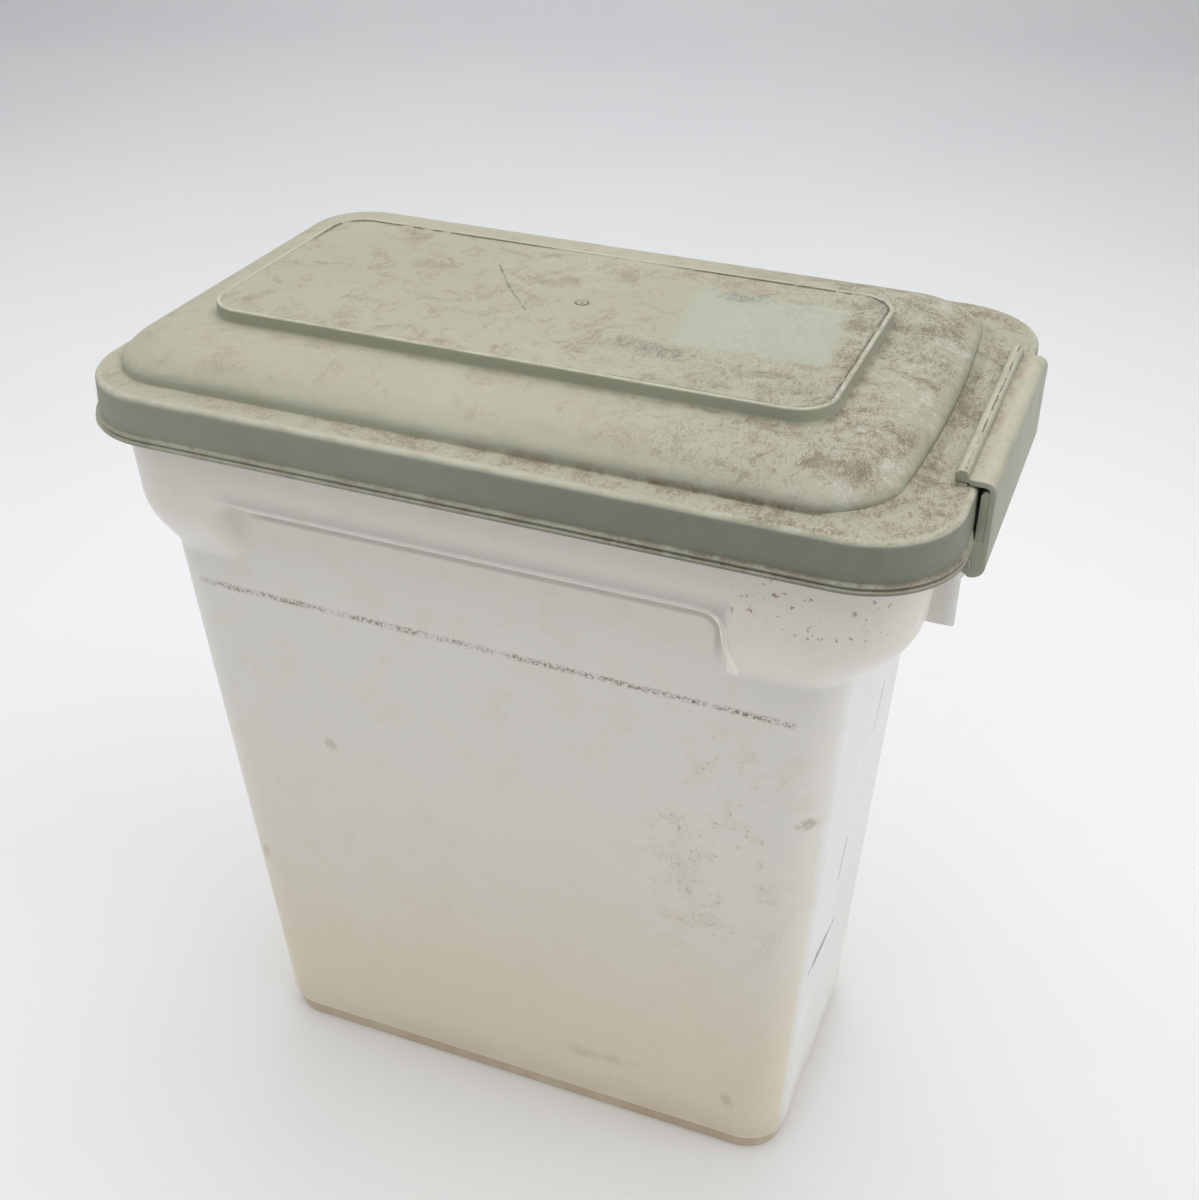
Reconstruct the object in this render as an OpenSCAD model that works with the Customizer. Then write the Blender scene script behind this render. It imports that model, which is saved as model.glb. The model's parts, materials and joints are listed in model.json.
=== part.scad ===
// Pet food bin: tapered tub, hinged lid with a soft seal, and a swinging latch.
// Millimetres. +Z up, +X towards the latch end, origin on the ground under the
// middle of the lid.

/* [Tub] */
// Length of the foot, along X
foot_l = 314; // [280:1:345]
// Width of the foot, along Y
foot_w = 160; // [140:1:175]
// Corner radius of the tapered body
body_r = 23; // [16:1:30]
// Height of the foot ring
foot_h = 10; // [6:1:14]
// Wall thickness of the tub
tub_wall = 2.5; // [2:0.1:3.5]
// How much the body widens per side from the ground to the collar, along X
flare_x = 20.3; // [14:0.1:26]
// How much the body widens per side from the ground to the collar, along Y
flare_y = 21.1; // [14:0.1:27]
// How far the body's middle leans away from the latch by the collar
body_lean = 6.3; // [0:0.1:9]
// Height where the body meets the funnel under the collar
funnel_z = 335; // [310:1:350]
// Height of the bottom edge of the straight collar
collar_z = 378; // [368:1:385]
// Height of the tub's rim
rim_z = 429.5; // [424:0.5:431]

/* [Hand-hold recess] */
// Length of the recess on each long side
recess_l = 253; // [200:1:262]
// Height of the ledge at the recess's top
recess_top_z = 381; // [370:1:388]
// Corner radius at the ledge's ends
recess_r = 8; // [3:1:14]

/* [Lid] */
// Length of the lid over its bottom bead
lid_l = 420; // [390:1:440]
// Width of the lid over its bottom bead
lid_w = 278; // [264:1:300]
// Corner radius of the lid
lid_r = 46; // [40:1:52]
// Height of the skirt's bottom edge
lid_bottom_z = 411.8; // [408:0.1:414]
// Height of the flat flange around the dome
flange_z = 435.5; // [434.5:0.1:440]
// Height the dome rises above the flange
dome_h = 14.3; // [8:0.1:16]
// Height of the plateau's side above the dome
plateau_h = 6.7; // [4:0.1:12]
// Wall thickness of the lid
lid_wall = 2.5; // [2:0.1:3]
// Length of the plateau
plateau_l = 310; // [260:1:320]
// Width of the plateau
plateau_w = 145; // [110:1:160]

/* [Latch] */
// Length of the latch, along Y
latch_l = 144; // [110:1:150]
// Thickness of the latch's plates
latch_t = 2.8; // [2.2:0.1:3.2]
// Distance from the lid's middle to the latch's outer face
latch_x = 215.5; // [214.5:0.1:217]
// Height of the latch's bottom face
latch_bottom_z = 392.5; // [390:0.1:394]

/* [Hinges] */
// Radius of the hinge pins
pin_r = 2; // [1.5:0.1:2.2]
// Radial running clearance of the pins in the moving parts
pin_gap = 0.05; // [0.02:0.01:0.08]
// Height of the latch pins
latch_pin_z = 399; // [398:0.1:400]
// Height of the lid pins
lid_pin_z = 404; // [402:0.1:405]
// Distance of the lid hinge ears from the middle, along Y
hinge_y = 70; // [50:1:80]

/* [Hidden] */

eps = 0.01;
fine = 96;

// Body: where its middle sits at the ground, and its bottom edge rounding; the
// foot ring stands a little inside the body
body_x0 = -4.2;
foot_inset = 1.2;
edge_round = 2.5;
edge_inset = 0.6;
foot_overlap = 2;
floor_z = 9;
underside_z = 6;
foot_wall = 4;

// Collar: half sizes where it starts and at the rim
collar_hx = 195.3;
collar_hy = 126;
collar_r = 38;
rim_hx = 200.3;
rim_hy = 129.5;
rim_r = 41;
lip_w = 2;
lip_h = 4.5;
taper = atan(flare_y / funnel_z);

// Funnel levels between the body and the collar: height above the funnel's
// bottom, and how far along the widening is
funnel_h1 = 15;
funnel_k1 = 0.48;
funnel_h2 = 30;
funnel_k2 = 0.85;

// Hand-hold recess: depth of its cutter, and how far it runs below the funnel
recess_depth = 60;
recess_below = 60;

// Lid: the skirt stands inside the bottom bead
bead_w = 2;
bead_h = 4;
skirt_hx = lid_l / 2 - bead_w;
skirt_hy = lid_w / 2 - bead_w;
skirt_r = lid_r - bead_w;
edge_r = 3;
ceiling_z = flange_z - lid_wall;
dome_x0 = -7;
dome_hx = 191;
dome_hy = 121.5;
dome_r = 33;
dome_z = flange_z + dome_h;
plateau_x0 = -13.8;
plateau_r = 20;
plateau_z = dome_z + plateau_h;
lip_rim_w = 2.6;
lip_rim_h = 0.5;
catch_h = 1;
catch_w = 5.7;
catch_x = 200.2;

// Seal: a ring that sits in the groove under the flange, just over the rim
seal_h = ceiling_z - rim_z - 0.1;
seal_side_gap = 0.4;
seal_w = 6.6;
groove_rib_w = 2;
groove_rib_h = 2;

// Latch: hump along its inner edge, pivot lugs at both ends
corner_r = 5.2;
curl_r = 6;
hump_w = 6;
hump_h = 5.7;
plate_bottom_z = flange_z + 0.4;
hump_bottom_z = flange_z + catch_h + 0.3;
plate_x0 = catch_x + catch_w / 2 + 0.4;
lug_r = 4;
lug_l = 8;
web_top_z = lid_bottom_z - 1.8;
latch_pin_x = 205;
side_gap = 0.5;
ear_root = 192;
ear_corner = 0.8;
latch_ear_t = 2.5;
latch_ear_drop = 31;
latch_ear_x = 206.4;
latch_nose_r = 4.2;

// Lid hinge
knuckle_r = 4.3;
knuckle_l = 12;
lid_pin_x = -(latch_x - knuckle_r);
hinge_ear_t = 3;
hinge_ear_drop = 28;

function mix(a, b, k) = a + (b - a) * k;
function body_hx(z) = foot_l / 2 + flare_x * z / funnel_z;
function body_hy(z) = foot_w / 2 + flare_y * z / funnel_z;
function body_cx(z) = body_x0 - body_lean * z / funnel_z;

// Rectangle with round corners, from half sizes
module rrect(hx, hy, r) {
    square([2 * hx, 2 * (hy - r)], center = true);
    square([2 * (hx - r), 2 * hy], center = true);
    for (sx = [-1, 1], sy = [-1, 1])
        translate([sx * (hx - r), sy * (hy - r)])
            circle(r);
}

module slab(z, cx, hx, hy, r) {
    translate([cx, 0, z])
        linear_extrude(eps)
            rrect(hx, hy, r);
}

module prism(z0, z1, cx, hx, hy, r) {
    translate([cx, 0, z0])
        linear_extrude(z1 - z0)
            rrect(hx, hy, r, $fn = fine);
}

module ring(z0, z1, hx, hy, r, w) {
    difference() {
        prism(z0, z1, 0, hx, hy, r);
        prism(z0 - 1, z1 + 1, 0, hx - w, hy - w, r - w);
    }
}

// Rod along Y from y0 to y1
module rod(x, z, y0, y1, r) {
    translate([x, y1, z])
        rotate([90, 0, 0])
            cylinder(h = y1 - y0, r = r, $fn = fine);
}

// One level of the body, drawn in from its outside by inset
module body_slab(z, inset) {
    slab(z, body_cx(z), body_hx(z) - inset, body_hy(z) - inset, body_r - inset);
}

// One level of the funnel: k runs from 0 at the body to 1 at the collar
module funnel_slab(z, k, inset) {
    slab(z, mix(body_cx(z), 0, k),
         mix(body_hx(z), collar_hx, k) - inset,
         mix(body_hy(z), collar_hy, k) - inset,
         mix(body_r, collar_r, k) - inset);
}

module tub_body(bottom, inset, bottom_inset) {
    hull() {
        body_slab(bottom, inset + bottom_inset);
        body_slab(bottom + edge_round, inset);
        body_slab(funnel_z, inset);
    }
}

module tub_collar(top, inset) {
    hull() {
        body_slab(funnel_z, inset);
        funnel_slab(funnel_z + funnel_h1, funnel_k1, inset);
        funnel_slab(funnel_z + funnel_h2, funnel_k2, inset);
        funnel_slab(collar_z, 1, inset);
        slab(top - eps, 0, rim_hx - inset, rim_hy - inset, rim_r - inset);
    }
}

// Block in front of one long side that forms the hand-hold, grown by grow
module recess_block(side, grow) {
    mirror([0, side > 0 ? 1 : 0, 0])
        translate([body_cx(funnel_z), -body_hy(0) + grow, 0])
            rotate([taper, 0, 0])
                rotate([90, 0, 0])
                    linear_extrude(recess_depth)
                        translate([0, (recess_top_z + funnel_z + grow - recess_below) / 2])
                            rrect(recess_l / 2 + grow,
                                  (recess_top_z - funnel_z + grow + recess_below) / 2,
                                  recess_r + grow, $fn = fine);
}

module tub_outside() {
    tub_body(foot_h, 0, edge_inset);
    difference() {
        tub_collar(rim_z, 0);
        for (side = [-1, 1])
            recess_block(side, 0);
    }
}

module tub_inside() {
    tub_body(floor_z, tub_wall, 3);
    difference() {
        tub_collar(rim_z + 1, tub_wall);
        for (side = [-1, 1])
            recess_block(side, tub_wall);
    }
}

// Flat clear plate that carries one pin; dir is +1 at the latch end, and
// edge_x is the plate's free edge below the round nose
module ear(dir, pin_x, pin_z, nose_r, edge_x, drop, y0, t) {
    translate([0, y0 + t, 0])
        rotate([90, 0, 0])
            linear_extrude(t)
                union() {
                    translate([pin_x, pin_z])
                        circle(nose_r, $fn = fine);
                    polygon([[dir * ear_root, pin_z - drop],
                             [edge_x - dir * ear_corner, pin_z - drop],
                             [edge_x, pin_z - drop + ear_corner],
                             [edge_x, pin_z - nose_r - 2],
                             [pin_x + dir * nose_r, pin_z],
                             [pin_x, pin_z + nose_r],
                             [dir * ear_root, pin_z + nose_r]]);
                }
}

module ears() {
    for (side = [-1, 1]) {
        latch_y = latch_l / 2 + side_gap;
        ear(1, latch_pin_x, latch_pin_z, latch_nose_r, latch_ear_x, latch_ear_drop,
            side > 0 ? latch_y : -latch_y - latch_ear_t, latch_ear_t);
        ear(-1, lid_pin_x, lid_pin_z, knuckle_r, lid_pin_x - knuckle_r, hinge_ear_drop,
            side > 0 ? hinge_y : -hinge_y - hinge_ear_t, hinge_ear_t);
    }
}

module tub() {
    color([0.82, 0.80, 0.76])
        difference() {
            union() {
                prism(0, foot_h + foot_overlap, body_x0, foot_l / 2 - foot_inset,
                      foot_w / 2 - foot_inset, body_r - foot_inset);
                tub_outside();
                ears();
                prism(rim_z - lip_h, rim_z, 0, rim_hx + lip_w, rim_hy + lip_w,
                      rim_r + lip_w);
            }
            prism(-1, underside_z, body_x0, foot_l / 2 - foot_inset - foot_wall,
                  foot_w / 2 - foot_inset - foot_wall, body_r - foot_inset - foot_wall);
            tub_inside();
            for (side = [-1, 1]) {
                rod(latch_pin_x, latch_pin_z, side > 0 ? 60 : -90, side > 0 ? 90 : -60, pin_r);
                rod(lid_pin_x, lid_pin_z, side > 0 ? 50 : -90, side > 0 ? 90 : -50, pin_r);
            }
        }
}

module dome_slab(z, inset) {
    slab(z, dome_x0, dome_hx - inset, dome_hy - inset, dome_r - min(inset, 12));
}

// Pillow dome, drawn in by inset; drop lowers its top for the inside
module dome(inset, drop) {
    hull() {
        dome_slab(flange_z - drop - eps, inset);
        dome_slab(flange_z + 0.40 * dome_h - drop, inset + 1.6);
        dome_slab(flange_z + 0.67 * dome_h - drop, inset + 5.5);
        dome_slab(flange_z + 0.86 * dome_h - drop, inset + 12);
        dome_slab(flange_z + dome_h - drop, inset + 28);
    }
}

module lid_shell() {
    hull() {
        slab(lid_bottom_z + 1, 0, skirt_hx, skirt_hy, skirt_r, $fn = 64);
        slab(flange_z - edge_r, 0, skirt_hx, skirt_hy, skirt_r, $fn = 64);
        slab(flange_z - 0.3 * edge_r, 0, skirt_hx - 0.3 * edge_r, skirt_hy - 0.3 * edge_r,
             skirt_r - 0.3 * edge_r, $fn = 64);
        slab(flange_z - eps, 0, skirt_hx - edge_r, skirt_hy - edge_r, skirt_r - edge_r, $fn = 64);
    }
    prism(lid_bottom_z, lid_bottom_z + bead_h, 0, lid_l / 2, lid_w / 2, lid_r);
    dome(0, 0);
    prism(dome_z - 4, plateau_z, plateau_x0, plateau_l / 2, plateau_w / 2, plateau_r);
    translate([catch_x - catch_w / 2, -latch_l / 2 - 1, flange_z - 1])
        cube([catch_w, latch_l + 2, catch_h + 1]);
}

module knuckle(y0, y1) {
    rod(lid_pin_x, lid_pin_z, y0, y1, knuckle_r);
    translate([lid_pin_x - knuckle_r + 1.3, y0, lid_pin_z])
        cube([knuckle_r + 3, y1 - y0, lid_bottom_z - lid_pin_z + 2]);
}

module lid() {
    in = lid_wall;
    color([0.56, 0.60, 0.50])
        difference() {
            union() {
                difference() {
                    lid_shell();
                    prism(lid_bottom_z - 1, ceiling_z, 0, skirt_hx - in - 1, skirt_hy - in - 1,
                          skirt_r - in - 1);
                    dome(in, in);
                    prism(dome_z - 12, plateau_z - in, plateau_x0, plateau_l / 2 - in,
                          plateau_w / 2 - in, plateau_r - in);
                    prism(plateau_z - lip_rim_h, plateau_z + 1, plateau_x0,
                          plateau_l / 2 - lip_rim_w, plateau_w / 2 - lip_rim_w,
                          plateau_r - lip_rim_w);
                }
                ring(ceiling_z - groove_rib_h, ceiling_z + eps,
                     skirt_hx - in - 1 - 2 * seal_side_gap - seal_w,
                     skirt_hy - in - 1 - 2 * seal_side_gap - seal_w,
                     skirt_r - in - 1 - 2 * seal_side_gap - seal_w, groove_rib_w);
                knuckle(hinge_y - side_gap - knuckle_l, hinge_y - side_gap);
                knuckle(-hinge_y + side_gap, -hinge_y + side_gap + knuckle_l);
            }
            rod(lid_pin_x, lid_pin_z, -90, 90, pin_r + pin_gap);
        }
}

module seal() {
    color([0.80, 0.80, 0.78])
        ring(ceiling_z - seal_h, ceiling_z, skirt_hx - lid_wall - 1 - seal_side_gap,
             skirt_hy - lid_wall - 1 - seal_side_gap,
             skirt_r - lid_wall - 1 - seal_side_gap, seal_w);
}

// Cross section of the latch in X and Z
module latch_section() {
    top = plate_bottom_z + latch_t;
    cx = latch_x - corner_r;
    cz = top - corner_r;
    bx = latch_x - curl_r;
    bz = latch_bottom_z + curl_r;
    difference() {
        translate([cx, cz])
            circle(corner_r, $fn = fine);
        translate([cx, cz])
            circle(corner_r - latch_t, $fn = fine);
        translate([cx - 20, cz - 20])
            square([20, 40]);
        translate([cx - 20, cz - 20])
            square([40, 20]);
    }
    difference() {
        translate([bx, bz])
            circle(curl_r, $fn = fine);
        translate([bx, bz])
            circle(curl_r - latch_t, $fn = fine);
        translate([bx - 20, bz - 20])
            square([20, 40]);
        translate([bx - 20, bz])
            square([40, 20]);
    }
    translate([plate_x0, plate_bottom_z])
        square([cx - plate_x0 + eps, latch_t]);
    translate([catch_x, hump_bottom_z])
        square([plate_x0 - catch_x + eps, top - hump_bottom_z]);
    translate([latch_x - latch_t, bz - eps])
        square([latch_t, cz - bz + 2 * eps]);
    translate([bx - 1, latch_bottom_z])
        square([1 + eps, latch_t]);
    translate([catch_x - hump_w / 2, hump_bottom_z])
        square([hump_w, hump_h - hump_w / 2]);
    translate([catch_x, hump_bottom_z + hump_h - hump_w / 2])
        circle(hump_w / 2, $fn = fine);
}

// Outline of the end webs and lugs in X and Z
module lug_section() {
    translate([latch_pin_x, latch_pin_z])
        circle(lug_r, $fn = fine);
    polygon([[latch_pin_x - 1, latch_pin_z - lug_r + 0.1],
             [latch_x - curl_r, latch_bottom_z + 0.5],
             [latch_x - latch_t + 0.5, latch_bottom_z + curl_r],
             [latch_x - latch_t + 0.5, web_top_z],
             [latch_pin_x + 5, web_top_z],
             [latch_pin_x + 3, latch_pin_z + lug_r - 1.2]]);
}

module latch() {
    half = latch_l / 2;
    color([0.60, 0.63, 0.54])
        difference() {
            union() {
                translate([0, half, 0])
                    rotate([90, 0, 0])
                        linear_extrude(latch_l)
                            latch_section();
                for (y1 = [half, -half + lug_l])
                    translate([0, y1, 0])
                        rotate([90, 0, 0])
                            linear_extrude(lug_l)
                                lug_section();
            }
            rod(latch_pin_x, latch_pin_z, -90, 90, pin_r + pin_gap);
        }
}

module latch_pins() {
    outer = latch_l / 2 + side_gap + latch_ear_t;
    inner = latch_l / 2 - lug_l - side_gap;
    color([0.75, 0.75, 0.74]) {
        rod(latch_pin_x, latch_pin_z, inner, outer, pin_r);
        rod(latch_pin_x, latch_pin_z, -outer, -inner, pin_r);
    }
}

module lid_pins() {
    outer = hinge_y + hinge_ear_t;
    inner = hinge_y - side_gap - knuckle_l - side_gap;
    color([0.75, 0.75, 0.74]) {
        rod(lid_pin_x, lid_pin_z, inner, outer, pin_r);
        rod(lid_pin_x, lid_pin_z, -outer, -inner, pin_r);
    }
}

tub();
lid();
seal();
latch();
latch_pins();
lid_pins();
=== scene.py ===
import json
import math

import bmesh
import bpy
import numpy as np
from mathutils import Matrix, Vector


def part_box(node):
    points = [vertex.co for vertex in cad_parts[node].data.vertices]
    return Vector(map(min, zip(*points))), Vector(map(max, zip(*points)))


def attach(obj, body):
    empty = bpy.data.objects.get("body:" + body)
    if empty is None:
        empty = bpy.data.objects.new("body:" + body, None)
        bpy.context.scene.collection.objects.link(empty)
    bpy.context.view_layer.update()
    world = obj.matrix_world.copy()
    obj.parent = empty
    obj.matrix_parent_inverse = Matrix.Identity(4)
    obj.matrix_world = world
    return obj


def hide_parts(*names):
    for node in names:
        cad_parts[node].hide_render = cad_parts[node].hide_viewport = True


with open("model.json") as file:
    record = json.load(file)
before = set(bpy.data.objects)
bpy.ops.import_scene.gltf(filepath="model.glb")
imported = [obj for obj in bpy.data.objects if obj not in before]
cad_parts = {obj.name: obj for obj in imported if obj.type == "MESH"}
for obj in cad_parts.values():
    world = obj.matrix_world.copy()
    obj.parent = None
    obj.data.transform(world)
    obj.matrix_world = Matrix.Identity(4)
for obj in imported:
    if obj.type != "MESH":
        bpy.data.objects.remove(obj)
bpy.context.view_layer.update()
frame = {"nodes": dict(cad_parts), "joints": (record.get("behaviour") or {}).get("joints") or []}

MM = 0.001
TUB_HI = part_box("tub")[1] * 1000
LID_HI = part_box("lid")[1] * 1000
LATCH_LO, LATCH_HI = [v * 1000 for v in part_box("latch")]
SEAL_LO, SEAL_HI = [v * 1000 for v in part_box("seal")]
SEAL_W = 6.6
JOINT = {j["name"]: [c * 1000 for c in j["pos_m"]] for j in frame["joints"]}
LATCH_PIN = JOINT["latch_hinge"]
LID_PIN = JOINT["lid_hinge"]
BORE_R = 2.05

# Sizes in mm. HX and HY are half lengths, R is a corner radius, Z is a height.
# An outline is four numbers: centre X, half length, half width and corner radius

# Tub
BODY_HX, BODY_HY, BODY_R, BODY_CX = 157.0, 80.0, 23.0, -4.2
FLARE_X, FLARE_Y, LEAN = 20.3, 21.1, -6.3
FUNNEL_Z, COLLAR_Z = 335.0, 378.0
RIM_Z = TUB_HI.z
COLLAR, RIM = (0.0, 195.3, 126.0, 38.0), (0.0, 200.3, 129.5, 41.0)
WALL = 2.5
RECESS_CX, RECESS_HALF, RECESS_TOP, RECESS_R = -11.5, 125.2, 379.2, 8.0
LEDGE_ROLL = 5.0
STEEP = math.radians(80)
FOOT_IN = 2.2

# Lid
LID_HX, LID_R = LID_HI.y + 71.0, 46.0
SKIRT_Z0, SKIRT_IN = 411.8, 2.05
FLANGE_Z, DOME_Z, TOP_Z = 435.5, 449.8, 456.5
DOME_BASE, DOME_TOP, DOME_BOW = (-7.0, 191.0, 121.5, 33.0), (-13.8, 156.0, 73.5, 21.0), 7.0
INNER_BASE, INNER_TOP = (-7.0, 188.6, 119.1, 30.6), (-13.8, 153.0, 70.5, 18.5)
PLATEAU = (-13.8, 155.0, 72.5, 20.0)

# Latch
LATCH_TOP, LATCH_T, LUG_W = 438.7, 2.8, 13.4

# Light that comes through the milky walls, as emission
GLOW = 0.12


def smooth(k):
    k = np.clip(k, 0.0, 1.0)
    return k * k * (3 - 2 * k)


def mix(a, b, k):
    return a + (b - a) * k


def between(a, b, k):
    """Two outlines mixed, number by number."""
    return [mix(u, v, k) for u, v in zip(a, b)]


# ---------------------------- meshes

CORNER_STEPS = 22


def ring_points(cx, hx, hy, r, xs, steps_y=20):
    """One rounded rectangle, anticlockwise from the front left, as (N, 2).

    xs are the points along the two long sides, from left to right. The second
    array marks the front (-1) and back (+1) long sides, and 0 elsewhere.
    """
    arc = np.linspace(0, math.pi / 2, CORNER_STEPS + 1)
    ys = np.linspace(-(hy - r), hy - r, steps_y + 1)[1:-1]
    right, left, top = cx + hx - r, cx - hx + r, hy - r
    parts = [
        np.c_[xs, np.full(len(xs), -hy)],
        np.c_[right + r * np.sin(arc), -top - r * np.cos(arc)],
        np.c_[np.full(len(ys), cx + hx), ys],
        np.c_[right + r * np.cos(arc), top + r * np.sin(arc)],
        np.c_[xs[::-1], np.full(len(xs), hy)],
        np.c_[left - r * np.sin(arc), top + r * np.cos(arc)],
        np.c_[np.full(len(ys), cx - hx), ys[::-1]],
        np.c_[left - r * np.cos(arc), -top - r * np.sin(arc)],
    ]
    side = [-1, 0, 0, 0, 1, 0, 0, 0]
    mark = np.concatenate([np.full(len(p), s) for p, s in zip(parts, side)])
    return np.concatenate(parts), mark


def loft(rings, caps=True, wrap=False):
    """Closed strip of quads through rings of equal length. Returns verts, faces."""
    n = len(rings[0])
    verts = np.concatenate(rings)
    faces = []
    count = len(rings) if wrap else len(rings) - 1
    idx = np.arange(n)
    nxt = (idx + 1) % n
    for i in range(count):
        a, b = i * n, ((i + 1) % len(rings)) * n
        faces.append(np.c_[a + idx, a + nxt, b + nxt, b + idx])
    faces = [tuple(int(v) for v in f) for f in np.concatenate(faces)]
    if caps and not wrap:
        last = (len(rings) - 1) * n
        faces.append(tuple(int(v) for v in idx[::-1]))
        faces.append(tuple(int(v) for v in last + idx))
    return verts, faces


def join(parts):
    """Several (verts, faces) as one."""
    verts, faces, base = [], [], 0
    for v, f in parts:
        verts.append(v)
        faces += [tuple(i + base for i in face) for face in f]
        base += len(v)
    return np.concatenate(verts), faces


def make_object(name, verts, faces, material, sharp=None):
    """Mesh object from points in mm, smooth shaded, outward normals."""
    mesh = bpy.data.meshes.new(name)
    mesh.from_pydata([tuple(v) for v in np.asarray(verts) * MM], [], faces)
    bm = bmesh.new()
    bm.from_mesh(mesh)
    bmesh.ops.remove_doubles(bm, verts=bm.verts, dist=1e-6)
    bmesh.ops.recalc_face_normals(bm, faces=bm.faces)
    big = [f for f in bm.faces if len(f.verts) > 4]
    bmesh.ops.triangulate(bm, faces=big)
    for f in bm.faces:
        f.smooth = True
    bm.to_mesh(mesh)
    bm.free()
    if sharp is not None:
        mesh.set_sharp_from_angle(angle=math.radians(sharp))
    obj = bpy.data.objects.new(name, mesh)
    bpy.context.scene.collection.objects.link(obj)
    mesh.materials.append(material)
    return obj


def boolean(target, cutter, operation):
    """Add the cutter to the target, or take it away, and delete the cutter."""
    mod = target.modifiers.new("bool", "BOOLEAN")
    mod.operation = operation
    mod.solver = "EXACT"
    mod.object = cutter
    dg = bpy.context.evaluated_depsgraph_get()
    mesh = bpy.data.meshes.new_from_object(target.evaluated_get(dg))
    target.modifiers.clear()
    old = target.data
    target.data = mesh
    bpy.data.meshes.remove(old)
    mesh = cutter.data
    bpy.data.objects.remove(cutter)
    bpy.data.meshes.remove(mesh)


def offset_outline(points, by):
    """Closed 2D outline moved inwards by 'by', corner by corner."""
    p = np.asarray(points, float)
    a, b = np.roll(p, 1, 0), np.roll(p, -1, 0)
    area = np.sum(p[:, 0] * b[:, 1] - b[:, 0] * p[:, 1])
    turn = 1 if area > 0 else -1

    def unit(v):
        return v / np.maximum(np.linalg.norm(v, axis=1, keepdims=True), 1e-9)

    e0, e1 = unit(p - a), unit(b - p)
    n0 = turn * np.c_[-e0[:, 1], e0[:, 0]]
    n1 = turn * np.c_[-e1[:, 1], e1[:, 0]]
    m = unit(n0 + n1)
    scale = np.maximum(np.sum(m * n0, axis=1, keepdims=True), 0.5)
    return p + m * by / scale


def plate_along_y(outline, y0, y1, edge):
    """Outline in X and Z swept from y0 to y1, with rounded end edges."""
    steps = [(0.0, 1.0), (0.12, 0.55), (0.4, 0.2), (1.0, 0.0)]
    places = [(y0 + edge * k, inset) for k, inset in steps]
    places += [(y1 - edge * k, inset) for k, inset in steps[::-1]]
    rings = []
    for y, inset in places:
        q = offset_outline(outline, edge * inset)
        rings.append(np.c_[q[:, 0], np.full(len(q), y), q[:, 1]])
    return loft(rings)


def arc2(cx, cz, r, start, stop, steps=10):
    """Points on an arc, angles in degrees from +X towards +Z."""
    t = np.radians(np.linspace(start, stop, steps + 1))
    return [(cx + r * math.cos(a), cz + r * math.sin(a)) for a in t]


def rod_along_y(x, z, r):
    """Round rod right across the bin, to cut a bore with."""
    t = np.linspace(0, 2 * math.pi, 40, endpoint=False)
    ends = [np.c_[x + r * np.cos(t), np.full(len(t), y), z + r * np.sin(t)] for y in (-90, 90)]
    return loft(ends)


# ---------------------------- node helper


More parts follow.
